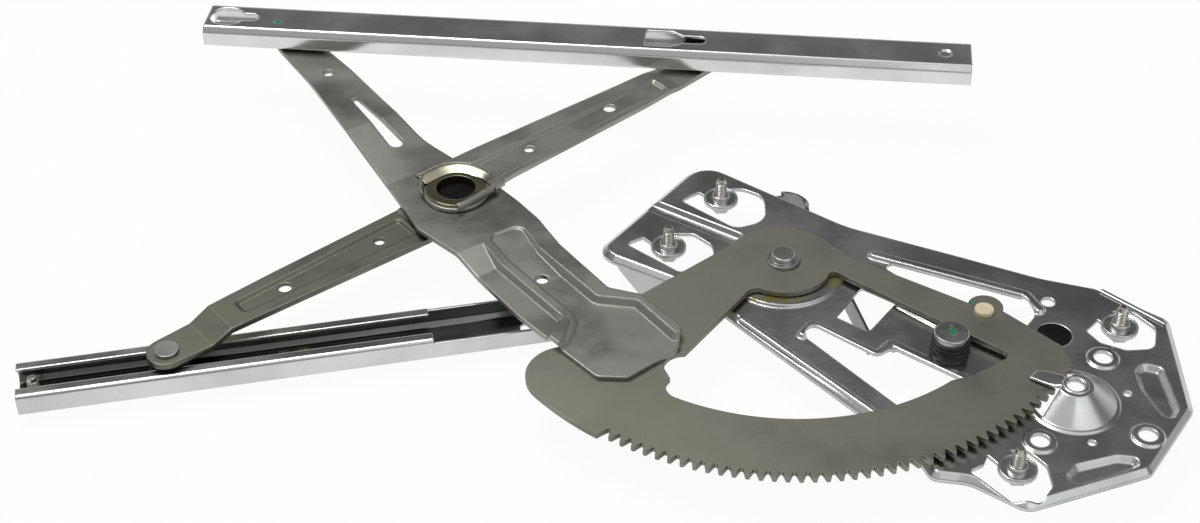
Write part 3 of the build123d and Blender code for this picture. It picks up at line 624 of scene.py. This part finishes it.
def studio_floor():
    """Pale paper, which takes the object's shadow and is nearly white to the camera and in the metal."""
    form = bmesh.new()
    bmesh.ops.create_grid(form, x_segments=1, y_segments=1, size=FLOOR_HALF)
    mesh = bpy.data.meshes.new("floor")
    form.to_mesh(mesh)
    form.free()
    floor = bpy.data.objects.new("floor", mesh)
    floor.location.z = cad_box[0][2] - FLOOR_GAP
    bpy.context.collection.objects.link(floor)

    n = Surface("floor_paper")
    n.set("Base Color", n.mix(n.span(n.noise(3.0), *MIDDLE), (0.90, 0.90, 0.90), (0.88, 0.88, 0.88)))
    n.set("Roughness", 0.9)
    white = n.add("ShaderNodeEmission")
    ray = n.add("ShaderNodeLightPath")
    seen = n.math("MULTIPLY", ray.outputs["Is Camera Ray"], WHITE_TO_CAMERA)
    mirrored = n.math("MULTIPLY", ray.outputs["Is Glossy Ray"], WHITE_IN_METAL)
    blend = n.add("ShaderNodeMixShader")
    n.feed(blend.inputs[0], n.math("MAXIMUM", seen, mirrored))
    n.feed(blend.inputs[1], n.shader.outputs[0])
    n.feed(blend.inputs[2], white.outputs[0])
    n.feed(n.output.inputs["Surface"], blend.outputs[0])
    mesh.materials.append(n.material)


def studio_world():
    """Pale surroundings with a darker band behind, as black flags give a studio shot of bare metal."""
    world = bpy.data.worlds.new("studio")
    world.use_nodes = True
    n = Nodes(world.node_tree, "ShaderNodeOutputWorld", "Generated")
    direction = n.add("ShaderNodeSeparateXYZ")
    n.feed(direction.inputs[0], n.place)

    def by_height(sky):
        height = n.add("ShaderNodeValToRGB")
        n.feed(height.inputs[0], direction.outputs["Z"])
        ramp = height.color_ramp
        ramp.elements[0].position = sky[0][0]
        ramp.elements[1].position = sky[-1][0]
        for position, _ in sky[1:-1]:
            ramp.elements.new(position)
        for element, (_, value) in zip(ramp.elements, sky):
            element.color = (value, value, value, 1)
        return height.outputs[0]

    to_front = n.span(direction.outputs["Y"], -0.25, 0.35, 1.0, 0.0)
    background = n.add("ShaderNodeBackground")
    n.feed(background.inputs["Color"], n.mix(to_front, by_height(REAR_SKY), by_height(FRONT_SKY)))
    n.feed(n.output.inputs["Surface"], background.outputs[0])
    bpy.context.scene.world = world


def softbox(name, place, target, size, power, colour=(1, 1, 1)):
    """A rectangular light of a power in watts, turned towards its target."""
    light = bpy.data.lights.new(name, "AREA")
    light.shape = "RECTANGLE"
    light.size, light.size_y = size
    light.energy = power
    light.color = colour
    lamp = bpy.data.objects.new(name, light)
    lamp.location = place
    lamp.rotation_euler = (Vector(target) - Vector(place)).to_track_quat("-Z", "Y").to_euler()
    bpy.context.collection.objects.link(lamp)


# The photograph's viewpoint: tilt and roll in degrees, and the pivot's place in the view in mm
CAMERA_TILT = 38.85
CAMERA_ROLL = 0.57
PIVOT_RIGHT, PIVOT_UP, PIVOT_AHEAD = 96.6, 0.53, 1082.16
SENSOR, LENS = 36, 61.5


def camera():
    """Looks along +Y, from about 39 degrees above the plate."""
    tilt, roll = math.radians(CAMERA_TILT), math.radians(CAMERA_ROLL)
    right = Vector((math.cos(roll), -math.sin(roll) * math.sin(tilt), -math.sin(roll) * math.cos(tilt)))
    up = Vector((math.sin(roll), math.cos(roll) * math.sin(tilt), math.cos(roll) * math.cos(tilt)))
    ahead = Vector((0, math.cos(tilt), -math.sin(tilt)))
    place = at(0, 0) - (right * PIVOT_RIGHT + up * PIVOT_UP + ahead * PIVOT_AHEAD) * MM
    data = bpy.data.cameras.new("camera")
    data.sensor_width = SENSOR
    data.lens = LENS
    data.clip_start = 0.05
    view = bpy.data.objects.new("camera", data)
    turn = Matrix((right, up, -ahead)).transposed()
    view.matrix_world = Matrix.Translation(place) @ turn.to_4x4()
    bpy.context.collection.objects.link(view)
    bpy.context.scene.camera = view


studio_floor()
studio_world()
softbox("key", (-0.5, 0.3, 1.6), (0, 0, 0), (1.2, 0.8), 16)
softbox("fill", (0.9, -1.0, 1.1), (0.05, 0, 0), (1.6, 1.2), 4, (0.95, 0.98, 1.0))
camera()
bpy.context.scene.view_settings.view_transform = "Standard"
